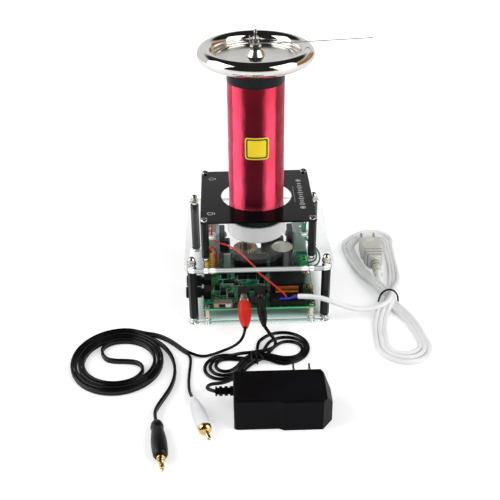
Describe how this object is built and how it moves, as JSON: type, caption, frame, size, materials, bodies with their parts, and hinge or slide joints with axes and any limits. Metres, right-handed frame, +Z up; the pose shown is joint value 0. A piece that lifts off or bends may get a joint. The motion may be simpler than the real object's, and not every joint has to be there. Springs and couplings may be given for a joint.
{
  "type": "desktop resonant transformer",
  "caption": "Desktop demonstration coil: wound secondary column under a spun ring electrode, driver board between clear decks, with mains, supply and audio cords.",
  "frame": {"origin": "centre of the lower deck's underside, on the column's axis, where it rests", "axes": "+Z up along the column, -Y the connector side, +X the mains side"},
  "size_m": [0.3067, 0.3419, 0.2483],
  "materials": {
    "clear_acrylic": "clear, polished edges",
    "black_post": "black, satin",
    "nickel": "nickel plated",
    "brass_post": "turned, satin",
    "grommet_rubber": "soft, pale",
    "black_board": "glass-fibre laminate, satin",
    "green_board": "laminate under solder mask",
    "white_cap": "moulded, satin",
    "tube_plastic": "extruded",
    "red_enamel": "enamelled copper wire, close wound",
    "black_tape": "clear tape over black",
    "spun_metal": "polished",
    "plain_steel": "turned",
    "wire_steel": "drawn",
    "board_black": "moulded",
    "knob_black": "moulded, fluted",
    "switch_metal": "plated sheet",
    "white_button": "moulded",
    "sink_aluminium": "bent sheet, dull",
    "pad_blue": "silicone sheet",
    "transistor_epoxy": "moulded",
    "choke_copper": "enamelled wire on a ring core",
    "can_sleeve": "shrunk sleeve, pale top",
    "ferrite": "pressed, dull",
    "amber_winding": "taped winding",
    "gold_wire": "close wound",
    "cover_black": "moulded",
    "terminal_green": "moulded",
    "fuse_glass": "glass tube with plated ends",
    "lead_sleeve": "coloured sleeving",
    "mains_sheath": "soft white and grey",
    "mains_moulding": "translucent",
    "tie_black": "flat wire tie",
    "cord_black": "soft",
    "plug_black": "moulded",
    "adapter_black": "fine texture",
    "plug_red": "moulded",
    "plug_white": "moulded"
  },
  "bodies": {
    "stand": {"bottom_deck": "clear_acrylic", "middle_deck": "clear_acrylic", "lower_posts": "black_post", "upper_posts": "black_post", "acorn_nuts": "nickel", "deck_screws": "nickel", "dome_screws": "nickel", "grommets": "grommet_rubber", "coil_board": "black_board", "base_cap": "white_cap", "coil_tube": "tube_plastic", "coil_winding": "red_enamel", "coil_bands": "black_tape", "tube_plug": "spun_metal", "ring_electrode": "spun_metal", "ring_disc": "spun_metal", "top_stud": "plain_steel", "top_nuts": "plain_steel", "main_board": "green_board", "board_standoffs": "brass_post", "board_screws": "nickel", "pot_bodies": "board_black", "switch_can": "switch_metal", "jack_bodies": "board_black", "jack_collars": "nickel", "heat_sinks": "sink_aluminium", "thermal_pads": "pad_blue", "power_transistors": "transistor_epoxy", "line_choke": "choke_copper", "reservoir_can": "can_sleeve", "trafo_core": "ferrite", "trafo_winding": "amber_winding", "gold_coil": "gold_wire", "mains_cover": "cover_black", "coil_terminal": "terminal_green", "fuse_holder": "fuse_glass", "board_chips": "board_black", "hookup_leads": "lead_sleeve", "mains_cord": "mains_sheath", "mains_hank": "mains_sheath", "mains_plug": "mains_moulding", "cord_ties": "tie_black", "supply_plug": "plug_black", "supply_cord": "cord_black", "supply_hank": "cord_black", "supply_tail": "cord_black", "adapter": "adapter_black", "red_plug": "plug_red", "audio_red_lead": "cord_black", "audio_twin": "cord_black", "audio_ring": "cord_black", "audio_white_lead": "cord_black", "white_plug": "plug_white", "audio_stereo_lead": "cord_black", "stereo_plug": "plug_black"},
    "front_control": {"front_knob": "knob_black"},
    "rear_control": {"rear_knob": "knob_black"},
    "slider": {"switch_slider": "white_button"},
    "breakout": {"breakout_wire": "wire_steel"}
  },
  "joints": [
    {"name": "front_knob_turn", "type": "hinge", "parent": "stand", "child": "front_control", "pos_m": [-0.05, -0.0425, 0.021], "axis": [-1, 0, 0], "range_deg": [-150, 150]},
    {"name": "rear_knob_turn", "type": "hinge", "parent": "stand", "child": "rear_control", "pos_m": [-0.05, -0.0235, 0.021], "axis": [-1, 0, 0], "range_deg": [-150, 150]},
    {"name": "switch_slide", "type": "slide", "parent": "stand", "child": "slider", "axis": [-1, 0, 0], "range_m": [0, 0.006]},
    {"name": "breakout_swivel", "type": "hinge", "parent": "stand", "child": "breakout", "pos_m": [0, 0, 0.23615], "axis": [0, 0, 1], "continuous": true}
  ]
}
